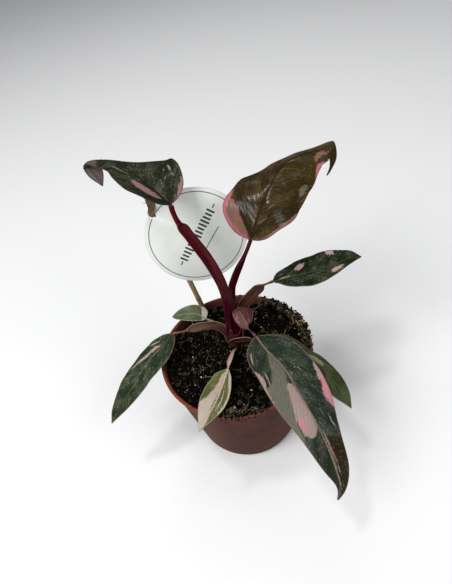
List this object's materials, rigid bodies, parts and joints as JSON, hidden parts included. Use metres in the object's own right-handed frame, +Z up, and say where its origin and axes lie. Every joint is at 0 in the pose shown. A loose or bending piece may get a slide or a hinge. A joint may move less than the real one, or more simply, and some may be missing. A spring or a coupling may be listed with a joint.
{
  "type": "potted burgundy princess philodendron",
  "caption": "Young burgundy princess philodendron with pink-variegated dark leaves in a round nursery pot of peat, with a blank round label tied to a bamboo stake.",
  "frame": {"origin": "centre of the pot's flat underside", "axes": "+Z up along the pot's axis; -Y is the front, towards which the large front leaf and the small front leaf grow; +X is to the right seen from the front; the label stands at the back left"},
  "size_m": [0.2157, 0.2363, 0.2249],
  "materials": {
    "pot_plastic": "glossy red-brown moulded plastic",
    "peat": "loose dark moist peat",
    "stem_bark": "short brown stem, mostly buried",
    "petiole_burgundy": "glossy dark burgundy leaf stalk",
    "petiole_pale": "thin pale pink-green leaf stalk",
    "blade_dark": "dark green leaf with pink and cream variegation",
    "blade_pale": "young leaf, mostly pale pink and cream",
    "sheath_maroon": "maroon papery sheath",
    "stake_bamboo": "bare bamboo",
    "label_card": "white satin card with a thin printed ring",
    "tie_jute": "jute cord"
  },
  "bodies": {
    "root": {"pot": "pot_plastic", "soil": "peat", "stem": "stem_bark", "crown_sheath": "sheath_maroon", "petiole_back_left": "petiole_burgundy", "leaf_back_left": "blade_dark", "petiole_back_right": "petiole_burgundy", "leaf_back_right": "blade_dark", "petiole_right": "petiole_burgundy", "leaf_right": "blade_dark", "petiole_front_right": "petiole_burgundy", "leaf_front_right": "blade_dark", "petiole_under_right": "petiole_burgundy", "leaf_under_right": "blade_dark", "petiole_left": "petiole_burgundy", "leaf_left": "blade_dark", "petiole_small_left": "petiole_pale", "leaf_small_left": "blade_dark", "petiole_small_front": "petiole_pale", "leaf_small_front": "blade_pale", "label_stake": "stake_bamboo", "label_disc": "label_card", "label_tie": "tie_jute"}
  },
  "joints": []
}
